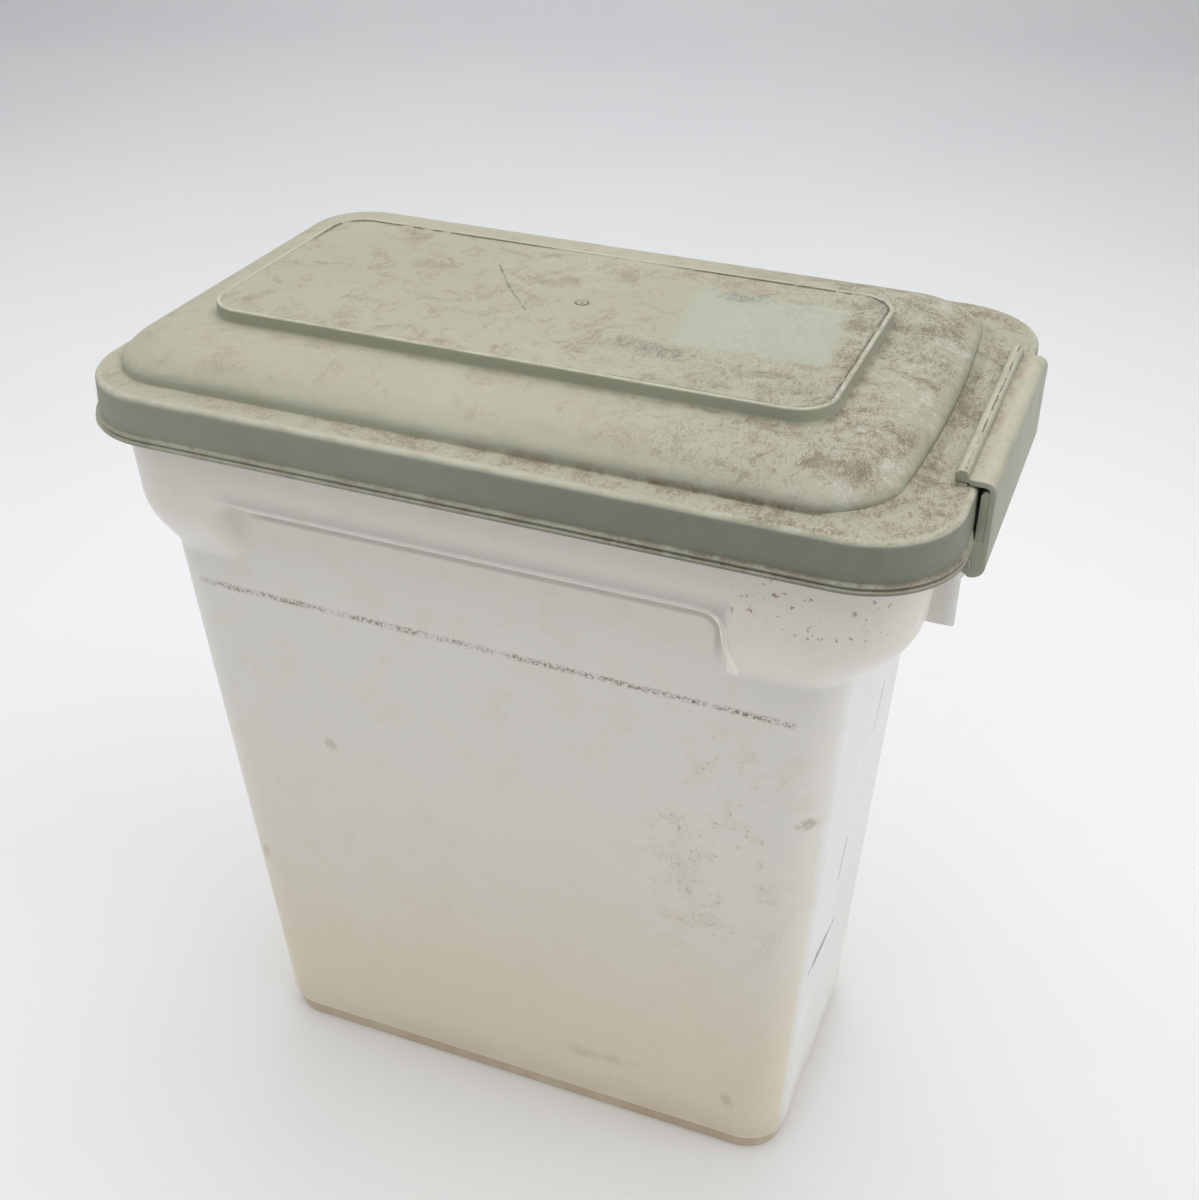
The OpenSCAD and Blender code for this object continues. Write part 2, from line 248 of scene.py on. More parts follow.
class Nodes:
    """Short hand for building a material's node tree. Places in it are in metres."""

    def __init__(self, name):
        self.mat = bpy.data.materials.new(name)
        self.mat.use_nodes = True
        self.tree = self.mat.node_tree
        self.tree.nodes.clear()
        self.out = self.tree.nodes.new("ShaderNodeOutputMaterial")
        coord = self.tree.nodes.new("ShaderNodeTexCoord")
        self.pos = coord.outputs["Object"]
        split = self.tree.nodes.new("ShaderNodeSeparateXYZ")
        self.link(self.pos, split.inputs[0])
        self.x, self.y, self.z = split.outputs
        self.incoming = self.tree.nodes.new("ShaderNodeNewGeometry").outputs["Incoming"]
        tn = self.tree.nodes.new("ShaderNodeSeparateXYZ")
        self.link(coord.outputs["Normal"], tn.inputs[0])
        self.nx, self.ny, self.nz = tn.outputs

    def link(self, a, b):
        self.tree.links.new(a, b)

    def feed(self, socket, value):
        if isinstance(value, bpy.types.NodeSocket):
            self.link(value, socket)
        elif isinstance(value, (tuple, list)) and len(value) == 3 and socket.type == "RGBA":
            socket.default_value = (*value, 1.0)
        else:
            socket.default_value = value

    def math(self, op, a, b=0.0, clamp=False):
        n = self.tree.nodes.new("ShaderNodeMath")
        n.operation = op
        n.use_clamp = clamp
        for s, v in zip(n.inputs, (a, b)):
            self.feed(s, v)
        return n.outputs[0]

    def add(self, a, b):
        return self.math("ADD", a, b)

    def mul(self, a, b):
        return self.math("MULTIPLY", a, b)

    def sub(self, a, b):
        return self.math("SUBTRACT", a, b)

    def inv(self, a):
        return self.math("SUBTRACT", 1.0, a, clamp=True)

    def band(self, v, lo, hi, out_lo=0.0, out_hi=1.0):
        """v mapped smoothly from lo..hi to out_lo..out_hi and held outside."""
        n = self.tree.nodes.new("ShaderNodeMapRange")
        n.interpolation_type = "SMOOTHSTEP"
        for s, x in zip(n.inputs, (v, lo, hi, out_lo, out_hi)):
            self.feed(s, x)
        return n.outputs[0]

    def noise(self, scale, detail, rough, seed, stretch=(1, 1, 1), distort=0.0):
        m = self.tree.nodes.new("ShaderNodeMapping")
        self.link(self.pos, m.inputs["Vector"])
        m.inputs["Location"].default_value = (seed, seed * 0.37, seed * 0.71)
        m.inputs["Scale"].default_value = stretch
        n = self.tree.nodes.new("ShaderNodeTexNoise")
        self.link(m.outputs[0], n.inputs["Vector"])
        n.inputs["Scale"].default_value = scale
        n.inputs["Detail"].default_value = detail
        n.inputs["Roughness"].default_value = rough
        n.inputs["Distortion"].default_value = distort
        return n.outputs["Fac"]

    def cells(self, scale, seed):
        m = self.tree.nodes.new("ShaderNodeMapping")
        self.link(self.pos, m.inputs["Vector"])
        m.inputs["Location"].default_value = (seed, seed * 0.53, seed * 0.29)
        n = self.tree.nodes.new("ShaderNodeTexVoronoi")
        self.link(m.outputs[0], n.inputs["Vector"])
        n.inputs["Scale"].default_value = scale
        return n.outputs["Distance"]

    def mixc(self, fac, a, b, mode="MIX"):
        n = self.tree.nodes.new("ShaderNodeMix")
        n.data_type = "RGBA"
        n.blend_type = mode
        self.feed(n.inputs[0], fac)
        self.feed(n.inputs[6], a)
        self.feed(n.inputs[7], b)
        return n.outputs[2]

    def blob(self, centre, size, edge, ragged, warp):
        """Soft spot with an edge made ragged by a noise: 1 in its middle, 0 outside."""
        parts = []
        for s, c, r in zip((self.x, self.y, self.z), centre, size):
            d = self.mul(self.sub(s, c), 1.0 / r)
            parts.append(self.mul(d, d))
        d = self.math("SQRT", self.add(self.add(parts[0], parts[1]), parts[2]))
        d = self.add(d, self.mul(self.sub(ragged, 0.5), warp))
        return self.band(d, 1.0, 1.0 - edge)

    def seg(self, a, b, width, axes="xy"):
        """Distance from the line a to b in two axes, in metres, and a mask of the line."""
        px, py = [getattr(self, k) for k in axes]
        dx, dy = b[0] - a[0], b[1] - a[1]
        ax, ay = self.sub(px, a[0]), self.sub(py, a[1])
        along = self.add(self.mul(ax, dx), self.mul(ay, dy))
        t = self.math("MULTIPLY", along, 1.0 / (dx * dx + dy * dy), clamp=True)
        ex, ey = self.sub(ax, self.mul(t, dx)), self.sub(ay, self.mul(t, dy))
        d = self.math("SQRT", self.add(self.mul(ex, ex), self.mul(ey, ey)))
        return d, self.band(d, width, width * 0.4)

    def bump(self, height, strength, distance):
        n = self.tree.nodes.new("ShaderNodeBump")
        n.inputs["Strength"].default_value = strength
        n.inputs["Distance"].default_value = distance
        self.link(height, n.inputs["Height"])
        return n.outputs[0]

    def attribute(self, name):
        n = self.tree.nodes.new("ShaderNodeAttribute")
        n.attribute_name = name
        return n.outputs["Fac"]

    def principled(self, **inputs):
        n = self.tree.nodes.new("ShaderNodeBsdfPrincipled")
        for k, v in inputs.items():
            self.feed(n.inputs[k.replace("_", " ")], v)
        return n.outputs[0]

    def finish(self, shader):
        self.link(shader, self.out.inputs["Surface"])
        return self.mat


def srgb(r, g, b):
    """0-255 display colour as linear."""

    def one(v):
        v /= 255
        return v / 12.92 if v <= 0.04045 else ((v + 0.055) / 1.055) ** 2.4

    return (one(r), one(g), one(b))


def lid_material():
    n = Nodes("lid_plastic")
    broad = n.noise(13, 3, 0.55, 3.0)
    mottle = n.noise(46, 6, 0.7, 1.0, distort=0.8)
    fibre = n.noise(420, 4, 0.75, 2.0, stretch=(1.0, 0.5, 1.0), distort=1.4)
    grit = n.noise(1500, 2, 0.7, 4.0)
    mid = n.noise(90, 4, 0.65, 5.0)
    up = n.band(n.nz, 0.35, 0.92)
    right = n.band(n.x, 0.0, 0.15)
    top = n.band(n.z, 0.4545, 0.4555)
    colour = n.mixc(n.band(broad, 0.3, 0.7), srgb(160, 162, 143), srgb(168, 171, 152))
    # A film of beige dust with cleaner patches, one of them square-edged
    ragged = n.mul(n.sub(mid, 0.5), 0.010)
    gx = n.math("ABSOLUTE", n.sub(n.add(n.x, n.mul(n.y, 0.12)), 0.088))
    gy = n.math("ABSOLUTE", n.sub(n.y, 0.012))
    ghost = n.band(n.add(gx, ragged), 0.042, 0.034)
    ghost = n.mul(ghost, n.band(n.add(gy, ragged), 0.038, 0.032))
    ghost = n.mul(ghost, top)
    patches = n.band(n.add(n.mul(broad, 0.6), n.mul(mottle, 0.4)), 0.50, 0.57)
    patches = n.mul(patches, n.mul(right, 0.7))
    clean = n.math("MAXIMUM", n.mul(ghost, 0.85), patches)
    texture = n.add(n.add(n.mul(mottle, 0.38), n.mul(fibre, 0.36)), n.mul(grit, 0.26))
    film = n.mul(n.band(texture, 0.41, 0.57, 0.15, 0.95), n.inv(clean))
    colour = n.mixc(n.mul(up, film), colour, srgb(182, 175, 154))
    colour = n.mixc(n.mul(ghost, 0.42), colour, srgb(178, 182, 167))
    stain = n.band(n.add(n.mul(mottle, 0.6), n.mul(mid, 0.4)), 0.46, 0.60)
    stain = n.mul(stain, n.mul(up, n.inv(ghost)))
    colour = n.mixc(n.mul(stain, 0.42), colour, srgb(160, 157, 139))
    # Browner dust towards the latch end, on the flat flange and low on the dome
    brown = n.band(texture, 0.46, 0.58)
    flange = n.mul(n.attribute("flange"), n.band(n.x, -0.2, 0.1, 0.35, 0.85))
    where = n.math("MAXIMUM", flange, n.mul(right, 0.92))
    patchy = n.mul(n.band(mottle, 0.50, 0.62), 0.20)
    where = n.math("MAXIMUM", where, n.add(n.mul(top, 0.28), patchy))
    brown = n.mul(n.mul(brown, where), n.mul(up, n.inv(n.mul(ghost, 0.8))))
    colour = n.mixc(brown, colour, srgb(124, 112, 92))
    # Dark rubbed-in smudges on the plateau
    smudge = n.blob((0.046, -0.034, 0.456), (0.030, 0.014, 0.02), 0.9, mid, 2.2)
    smudge2 = n.blob((0.068, 0.044, 0.456), (0.022, 0.009, 0.02), 0.9, mid, 2.2)
    smudge3 = n.blob((0.120, -0.050, 0.456), (0.030, 0.014, 0.02), 0.9, mid, 2.6)
    dark = n.add(n.add(smudge, smudge2), n.mul(smudge3, 0.5))
    streaks = n.band(n.add(n.mul(fibre, 0.6), n.mul(grit, 0.4)), 0.38, 0.60)
    dark = n.mul(n.mul(dark, up), streaks)
    colour = n.mixc(n.mul(dark, 0.62), colour, srgb(92, 87, 82))
    # Dirt in the creases
    crease = n.mul(n.attribute("grime"), n.band(mottle, 0.36, 0.58))
    crease = n.mul(crease, n.band(n.x, -0.1, 0.12, 0.12, 0.75))
    colour = n.mixc(crease, colour, srgb(112, 97, 78))
    packed = n.mul(n.band(n.attribute("grime"), 0.55, 0.95), n.band(n.x, 0.02, 0.16))
    broken = n.band(mid, 0.40, 0.58, 0.25, 1.0)
    packed = n.mul(packed, n.mul(n.band(n.z, 0.4340, 0.4350), broken))
    colour = n.mixc(n.mul(packed, 0.75), colour, srgb(88, 72, 56))
    # Chalky scuffs on the dome's shoulder at the latch end
    chalk = n.mul(n.band(mid, 0.50, 0.62), n.band(fibre, 0.44, 0.58))
    chalk = n.mul(chalk, n.mul(n.band(n.x, 0.125, 0.160), n.band(n.z, 0.4505, 0.4495)))
    chalk = n.mul(chalk, n.band(n.z, 0.4370, 0.4420))
    colour = n.mixc(n.mul(chalk, 0.6), colour, srgb(206, 209, 198))
    # Dark dirt in the groove inside the plateau's lip
    far = n.mul(n.band(n.y, 0.02, 0.05), n.band(n.x, -0.03, -0.06))
    lip = n.mul(n.attribute("lip_dirt"), n.band(mid, 0.38, 0.50))
    lip = n.mul(lip, n.math("MAXIMUM", n.band(n.x, 0.0, 0.05, 0.10, 1.0), far))
    colour = n.mixc(n.mul(lip, 0.85), colour, srgb(66, 62, 54))
    # Paler rubbed edges, and painted light: a lighter band low on the dome
    edge = n.mul(n.attribute("wear_and_painted_light"), n.band(mid, 0.34, 0.62, 0.25, 0.8))
    colour = n.mixc(edge, colour, srgb(198, 198, 180))
    # Hair-thin pale scratches in long soft arcs, mostly near the latch end
    arcs = n.math("ABSOLUTE", n.sub(n.noise(11, 0.0, 0.4, 12.0), 0.5))
    arcs = n.mul(n.band(arcs, 0.0016, 0.0005), n.band(broad, 0.50, 0.58))
    arcs = n.mul(arcs, n.mul(up, n.band(n.x, 0.0, 0.13, 0.1, 0.8)))
    colour = n.mixc(n.mul(arcs, 0.5), colour, srgb(206, 202, 188))
    # One thin curved dark scratch on the plateau
    _, cut1 = n.seg((-0.060, 0.036), (-0.043, 0.010), 0.0009)
    _, cut2 = n.seg((-0.043, 0.010), (-0.024, -0.014), 0.0008)
    cut = n.mul(n.math("MAXIMUM", cut1, cut2), n.band(fibre, 0.40, 0.55))
    colour = n.mixc(n.mul(n.mul(cut, top), 0.7), colour, srgb(90, 104, 96))
    # Dirt around the small moulding mark
    mx, my = n.sub(n.x, -0.002), n.sub(n.y, 0.005)
    away = n.math("SQRT", n.add(n.mul(mx, mx), n.mul(my, my)))
    round_it = n.band(n.math("ABSOLUTE", n.sub(away, 0.0032)), 0.0010, 0.0002)
    round_it = n.math("MAXIMUM", round_it, n.band(away, 0.0014, 0.0006))
    colour = n.mixc(n.mul(n.mul(round_it, top), 0.8), colour, srgb(92, 84, 70))
    # Fine dark specks and short hairs of dirt, and the film's own fine grain
    grain = n.add(n.mul(fibre, 0.5), n.mul(grit, 0.5))
    specks = n.mul(n.band(grain, 0.57, 0.63), n.band(mottle, 0.46, 0.58, 0.15, 1.0))
    colour = n.mixc(n.mul(specks, n.mul(up, 0.42)), colour, srgb(96, 88, 72))
    pale = n.mul(n.band(grain, 0.43, 0.37), up)
    colour = n.mixc(n.mul(pale, 0.30), colour, srgb(204, 200, 184))
    # Painted shade: the skirt's steep sides are coloured duller and darker, more so towards the
    # latch end
    skirt_shade = n.mul(n.band(n.nz, 0.6, 0.2), n.band(n.z, 0.4345, 0.4325))
    skirt_shade = n.mul(skirt_shade, n.band(n.x, -0.2, 0.16, 0.26, 0.72))
    skirt_shade = n.mul(skirt_shade, n.band(mottle, 0.30, 0.60, 1.0, 0.82))
    colour = n.mixc(skirt_shade, colour, srgb(112, 114, 103))
    # Greyer grime low on the skirt
    low = n.mul(n.band(n.z, 0.423, 0.415), n.band(mottle, 0.40, 0.60))
    colour = n.mixc(n.mul(low, 0.3), colour, srgb(104, 98, 82))
    rough = n.band(texture, 0.3, 0.65, 0.40, 0.66)
    normal = n.bump(n.add(n.mul(fibre, 0.7), n.mul(grit, 0.5)), 0.22, 0.0005)
    bsdf = n.principled(Base_Color=colour, Roughness=rough, Normal=normal, Specular_IOR_Level=0.4)
    return n.finish(bsdf)


def latch_material():
    n = Nodes("latch_plastic")
    mottle = n.noise(60, 6, 0.68, 62.0, distort=0.6)
    fibre = n.noise(420, 4, 0.72, 63.0, stretch=(1.0, 0.5, 1.0), distort=1.2)
    up = n.band(n.nz, 0.25, 0.92)
    colour = n.mixc(n.band(mottle, 0.3, 0.7), srgb(162, 165, 147), srgb(170, 173, 155))
    texture = n.add(n.mul(mottle, 0.55), n.mul(fibre, 0.45))
    dust = n.mul(up, n.band(texture, 0.40, 0.60, 0.2, 0.9))
    colour = n.mixc(dust, colour, srgb(191, 184, 164))
    # Dirt packed in the angle beside the rounded bead
    gutter = n.mul(n.band(n.x, 0.2096, 0.2046), n.band(n.z, 0.4372, 0.4380))
    gutter = n.mul(gutter, n.band(n.z, 0.4402, 0.4394))
    gutter = n.mul(gutter, n.band(texture, 0.44, 0.56))
    colour = n.mixc(n.mul(gutter, 0.65), colour, srgb(136, 118, 96))
    # Broken dark seam along the bead's ridge
    wobble = n.mul(n.sub(mottle, 0.5), 0.0012)
    seam = n.math("ABSOLUTE", n.sub(n.add(n.x, wobble), 0.2010))
    seam = n.mul(n.band(seam, 0.0005, 0.00015), n.band(n.z, 0.4405, 0.4412))
    seam = n.mul(seam, n.band(n.noise(70, 5, 0.8, 66.0), 0.46, 0.52))
    colour = n.mixc(n.mul(seam, 0.85), colour, srgb(70, 66, 54))
    # Scuffs on the outer face
    scuff = n.mul(n.band(texture, 0.54, 0.62), n.band(n.nx, 0.3, 0.8))
    colour = n.mixc(n.mul(scuff, 0.4), colour, srgb(140, 136, 122))
    specks = n.mul(n.band(n.cells(280, 68.0), 0.14, 0.07), n.band(mottle, 0.5, 0.6))
    colour = n.mixc(n.mul(specks, 0.5), colour, srgb(80, 72, 60))
    rough = n.band(mottle, 0.3, 0.7, 0.40, 0.60)
    normal = n.bump(fibre, 0.16, 0.0005)
    bsdf = n.principled(Base_Color=colour, Roughness=rough, Normal=normal, Specular_IOR_Level=0.42)
    return n.finish(bsdf)


def tub_material():
    n = Nodes("tub_plastic")
    cloud = n.noise(17, 5, 0.62, 22.0, distort=0.5)
    mid = n.noise(58, 5, 0.68, 24.0)
    gritty = n.noise(460, 3, 0.75, 25.0)
    base = srgb(226, 223, 215)
    low = srgb(222, 213, 192)
    pink = srgb(226, 219, 211)
    grey = srgb(230, 232, 232)
    level = n.add(n.z, n.mul(n.sub(cloud, 0.5), 0.12))
    colour = n.mixc(n.band(level, 0.02, 0.26, 1.0, 0.0), base, low)
    colour = n.mixc(n.mul(n.band(n.z, 0.34, 0.39), 0.75), colour, pink)
    end = n.mul(n.band(n.nx, 0.85, 0.99), n.band(n.z, 0.37, 0.30))
    colour = n.mixc(n.mul(end, 0.8), colour, grey)
    colour = n.mixc(n.mul(n.band(mid, 0.50, 0.70), 0.15), colour, srgb(206, 194, 170))
    front = n.mul(n.band(n.ny, -0.5, -0.85), n.band(n.y, -0.060, -0.075))
    # Foot: grime gathers along the bottom edge
    foot = n.mul(n.band(n.z, 0.036, 0.004), n.band(cloud, 0.35, 0.60, 0.35, 1.0))
    colour = n.mixc(n.mul(foot, 0.38), colour, srgb(180, 156, 126))
    step = n.mul(n.band(n.z, 0.0096, 0.0086), n.band(mid, 0.30, 0.60, 0.5, 1.0))
    colour = n.mixc(n.mul(step, 0.5), colour, srgb(178, 156, 128))
    brim = n.mul(n.band(n.z, 0.0094, 0.0102), n.band(n.z, 0.0128, 0.0112))
    colour = n.mixc(n.mul(brim, 0.5), colour, srgb(236, 230, 214))
    # A long broken rub line across the long wall
    d, _ = n.seg((-0.167, 0.3180), (0.145, 0.3140), 0.002, "xz")
    d = n.add(d, n.mul(n.sub(cloud, 0.5), 0.0018))
    dust = n.noise(900, 3, 0.8, 26.0)
    rub = n.band(n.add(n.mul(gritty, 0.5), n.mul(dust, 0.5)), 0.45, 0.56)
    rub = n.mul(n.band(d, 0.0027, 0.0003), rub)
    broken = n.band(n.add(n.mul(mid, 0.6), n.mul(cloud, 0.4)), 0.40, 0.54, 0.18, 1.0)
    rub = n.mul(n.mul(rub, broken), front)
    colour = n.mixc(n.mul(rub, 0.9), colour, srgb(104, 90, 76))
    # Stains and specks
    spot_zone = n.blob((0.115, -0.095, 0.220), (0.055, 0.05, 0.11), 0.8, cloud, 0.9)
    spots = n.mul(n.band(gritty, 0.56, 0.64), n.band(mid, 0.46, 0.58))
    colour = n.mixc(n.mul(n.mul(spots, spot_zone), 0.6), colour, srgb(164, 124, 100))
    blush = n.mul(spot_zone, n.band(mid, 0.44, 0.66))
    colour = n.mixc(n.mul(blush, 0.20), colour, srgb(204, 180, 156))
    sparse = n.mul(n.band(dust, 0.67, 0.74), n.band(mid, 0.50, 0.56))
    colour = n.mixc(n.mul(sparse, 0.55), colour, srgb(116, 98, 80))
    collar = n.blob((0.155, -0.127, 0.392), (0.052, 0.03, 0.020), 0.5, mid, 0.6)
    spots2 = n.mul(n.band(n.noise(270, 2, 0.6, 27.0), 0.63, 0.67), n.band(mid, 0.42, 0.48))
    colour = n.mixc(n.mul(n.mul(spots2, collar), 0.75), colour, srgb(138, 98, 76))
    # Single marks: centre, size, strength and colour
    for centre, size, strength, tint in (
        ((0.158, -0.092, 0.252), (0.008, 0.02, 0.005), 0.45, (128, 100, 86)),
        ((0.151, -0.081, 0.028), (0.0035, 0.012, 0.005), 0.85, (64, 56, 48)),
        ((0.049, -0.083, 0.043), (0.026, 0.02, 0.006), 0.22, (142, 124, 100)),
        ((0.125, -0.083, 0.040), (0.005, 0.02, 0.011), 0.30, (142, 118, 84)),
        ((-0.103, -0.094, 0.228), (0.004, 0.02, 0.004), 0.34, (128, 120, 92)),
        ((-0.158, -0.088, 0.128), (0.007, 0.02, 0.010), 0.50, (176, 116, 84)),
    ):
        spot = n.mul(n.blob(centre, size, 0.9, mid, 3.2), n.band(gritty, 0.30, 0.52))
        colour = n.mixc(n.mul(spot, strength), colour, srgb(*tint))
    # Thin black scuffs on the end wall
    end_wall = n.band(n.nx, 0.7, 0.9)
    for a, b, width in (
        ((-0.064, 0.131), (-0.006, 0.119), 0.0016),
        ((-0.052, 0.1285), (-0.026, 0.1230), 0.0042),
        ((-0.015, 0.157), (-0.008, 0.182), 0.0016),
        ((0.020, 0.235), (0.028, 0.262), 0.0014),
    ):
        d, _ = n.seg(a, b, width, "yz")
        d = n.add(d, n.mul(n.sub(mid, 0.5), 0.004))
        scuff = n.mul(n.mul(n.band(d, width, width * 0.3), end_wall), n.band(gritty, 0.34, 0.5))
        colour = n.mixc(n.mul(scuff, 0.8), colour, srgb(60, 62, 64))
    # The ledge behind the milky wall shows through as shade: follow the line of
    # sight on into the tub, and see how soon it meets the recess's ledge or flank
    look = n.tree.nodes.new("ShaderNodeSeparateXYZ")
    n.link(n.incoming, look.inputs[0])
    ix, iy, iz = look.outputs
    deep = n.math("MAXIMUM", n.math("ABSOLUTE", iy), 0.05)
    off = n.sub(n.x, RECESS_CX * MM)
    sign = n.math("SIGN", off)
    across = n.math("MAXIMUM", n.mul(ix, sign), 0.15)
    down = n.math("MAXIMUM", iz, 0.02)
    over = n.sub(n.z, (RECESS_TOP + 1.0) * MM)
    beyond = n.sub(n.math("ABSOLUTE", off), (RECESS_HALF + 1.0) * MM)
    t_top = n.mul(n.math("MAXIMUM", over, 0.0), n.math("DIVIDE", deep, down))
    t_side = n.mul(n.math("MAXIMUM", beyond, 0.0), n.math("DIVIDE", deep, across))
    reach = n.math("MAXIMUM", t_top, t_side)
    outside = n.math("MAXIMUM", over, beyond)
    shade = n.mul(n.band(reach, 0.020, 0.001), n.band(outside, -0.002, 0.001))
    shade = n.mul(shade, n.band(off, (-RECESS_HALF - 2.0) * MM, (-RECESS_HALF + 10.0) * MM))
    long_wall = n.band(n.math("ABSOLUTE", n.ny), 0.6, 0.9)
    shade = n.mul(shade, n.mul(n.band(n.z, 0.338, 0.362), long_wall))
    # Just under the ledge's edge the wall behind lies in its shadow
    gap = n.math("MAXIMUM", n.sub(0.1255, n.math("ABSOLUTE", n.y)), 0.0)
    zz = n.add(n.z, n.math("DIVIDE", n.mul(gap, iz), deep))
    zz = n.sub(zz, (RECESS_TOP - RECESS_R) * MM)
    xx = n.math("ABSOLUTE", n.add(off, n.math("DIVIDE", n.mul(gap, ix), deep)))
    xx = n.sub(xx, (RECESS_HALF - RECESS_R) * MM)
    px, pz = n.math("MAXIMUM", xx, 0.0), n.math("MAXIMUM", zz, 0.0)
    rho = n.math("SQRT", n.add(n.mul(px, px), n.mul(pz, pz)))
    inward = n.band(off, -RECESS_HALF * MM, (-RECESS_HALF + 14.0) * MM)
    line = n.band(rho, (RECESS_R - 1.6) * MM, (RECESS_R + 0.2) * MM)
    line = n.mul(line, n.mul(n.band(gap, 0.002, 0.006), n.band(outside, -0.003, -0.006)))
    line = n.mul(n.mul(line, inward), n.band(n.z, 0.336, 0.356))
    # Painted highlight: the ledge's rolled edge is coloured lighter here
    ledge = n.attribute("ledge")
    dim = n.sub(1.0, n.add(n.mul(shade, 0.27), n.mul(line, 0.30)))
    dim = n.mul(dim, n.add(1.0, n.mul(ledge, 0.12)))
    comb = n.tree.nodes.new("ShaderNodeCombineColor")
    for socket in comb.inputs[:3]:
        n.link(dim, socket)
    colour = n.mixc(1.0, colour, comb.outputs[0], "MULTIPLY")
    rough = n.band(cloud, 0.3, 0.7, 0.34, 0.50)
    normal = n.bump(n.add(mid, n.mul(gritty, 0.2)), 0.10, 0.0012)
    bsdf = n.principled(Base_Color=colour, Roughness=rough, Normal=normal, Specular_IOR_Level=0.4)
    # A little glow stands for the light that comes through the milky walls
    inner = n.tree.nodes.new("ShaderNodeEmission")
    n.link(colour, inner.inputs["Color"])
    clear = n.attribute("clear")
    strength = n.band(n.nx, -0.2, 0.8, GLOW, GLOW * 0.75)
    # Painted glow: a little more emission on the ledge's rolled edge
    strength = n.add(n.mul(strength, n.inv(clear)), n.mul(ledge, 0.04))
    n.feed(inner.inputs["Strength"], strength)
    lit = n.tree.nodes.new("ShaderNodeAddShader")
    n.link(bsdf, lit.inputs[0])
    n.link(inner.outputs[0], lit.inputs[1])
    # The thin ears are nearly clear
    thin = n.tree.nodes.new("ShaderNodeBsdfTransparent")
    thin.inputs["Color"].default_value = (0.86, 0.87, 0.865, 1)
    facing = n.tree.nodes.new("ShaderNodeLayerWeight")
    facing.inputs["Blend"].default_value = 0.35
    see = n.mul(clear, n.band(facing.outputs["Facing"], 0.2, 0.95, 0.80, 0.25))
    ear = n.tree.nodes.new("ShaderNodeMixShader")
    n.link(see, ear.inputs[0])
    n.link(lit.outputs[0], ear.inputs[1])
    n.link(thin.outputs[0], ear.inputs[2])
    return n.finish(ear.outputs[0])


def seal_material():
    n = Nodes("seal_rubber")
    tone = n.band(n.noise(40, 4, 0.6, 31.0), 0.3, 0.7)
    colour = n.mixc(tone, srgb(196, 194, 186), srgb(172, 168, 156))
    normal = n.bump(n.noise(500, 3, 0.6, 32.0), 0.1, 0.0004)
    return n.finish(n.principled(Base_Color=colour, Roughness=0.7, Normal=normal))


def steel_material():
    n = Nodes("pin_steel")
    tone = n.noise(300, 3, 0.6, 41.0, stretch=(1, 0.05, 1))
    colour = n.mixc(tone, srgb(150, 150, 150), srgb(196, 196, 194))
    rough = n.band(tone, 0.3, 0.7, 0.25, 0.45)
    normal = n.bump(tone, 0.1, 0.0003)
    return n.finish(n.principled(Base_Color=colour, Metallic=1.0, Roughness=rough, Normal=normal))


TUB_MAT = tub_material()
LID_MAT = lid_material()
LATCH_MAT = latch_material()
SEAL_MAT = seal_material()
STEEL_MAT = steel_material()

# ---------------------------- tub

TUB_XS = np.concatenate(
    [
        np.linspace(-152, -145, 4),
        np.linspace(-144, -131, 34),
        np.linspace(-125, 102, 23),
        np.linspace(108, 121, 34),
        np.linspace(124, 139, 5),
    ]
)


def ledge_drop(rho, roll, depth):
    """How far the wall has turned inwards, from the distance to the recess's outline."""
    into = np.maximum(roll - rho, 0.0)
    held = np.minimum(into, roll * math.sin(STEEP))
    drop = roll - np.sqrt(roll**2 - held**2) + (into - held) * math.tan(STEEP)
    soft = max(min(3.0, depth), 1e-6)
    h = np.clip(0.5 + 0.5 * (depth - drop) / soft, 0.0, 1.0)
    return depth + (drop - depth) * h - soft * h * (1 - h)


def body_outline(z):
    """The tapered body's outline at height z."""
    k = z / FUNNEL_Z
    return BODY_CX + LEAN * k, BODY_HX + FLARE_X * k, BODY_HY + FLARE_Y * k, BODY_R


def tub_outline(z):
    """The tub's outline at height z: body, then funnel, then collar up to the rim."""
    if z <= FUNNEL_Z:
        return body_outline(z)
    if z <= COLLAR_Z:
        k = float(smooth(((z - FUNNEL_Z) / (COLLAR_Z - FUNNEL_Z)) ** 0.8))
        return between(body_outline(z), COLLAR, k)
    return between(COLLAR, RIM, (z - COLLAR_Z) / (RIM_Z - COLLAR_Z))


def tub_ring(z, inset, level=None):
    """The tub's outline at height z, drawn in by inset; level is the ring's own height."""
    cx, hx, hy, r = tub_outline(z)
    body_hy = body_outline(min(z, COLLAR_Z + 8))[2]
    span = BODY_HX + FLARE_X - BODY_R
    middle = BODY_CX + LEAN
    if z <= FUNNEL_Z:
        xs = cx + (TUB_XS - middle) * (hx - r) / span
    else:
        xs = TUB_XS
    pts, mark = ring_points(cx, hx - inset, hy - inset, max(r - inset, 1.0), xs)
    if z > FUNNEL_Z:
        qx = np.abs(pts[:, 0] - RECESS_CX) - (RECESS_HALF - RECESS_R)
        qz = np.full(len(pts), z - (RECESS_TOP - RECESS_R))
        outside = np.hypot(np.maximum(qx, 0), np.maximum(qz, 0))
        inside = np.minimum(np.maximum(qx, qz), 0)
        rho = outside + inside - RECESS_R
        # The end away from the latch turns in more gently
        gentle = smooth((RECESS_CX - pts[:, 0] - RECESS_HALF + 16) / 14)
        roll = LEDGE_ROLL + 5.0 * gentle - inset
        pts[:, 1] -= mark * ledge_drop(rho - inset, roll, hy - body_hy)
    return np.c_[pts, np.full(len(pts), z if level is None else level)]


def plain_ring(z, cx, hx, hy, r):
    """A ring of the tub's floor and foot, with as many points as the wall's rings."""
    u = (TUB_XS - TUB_XS.mean()) / (np.ptp(TUB_XS) / 2)
    pts, _ = ring_points(cx, hx, hy, r, cx + u * (hx - r) * 0.97)
    return np.c_[pts, np.full(len(pts), z)]


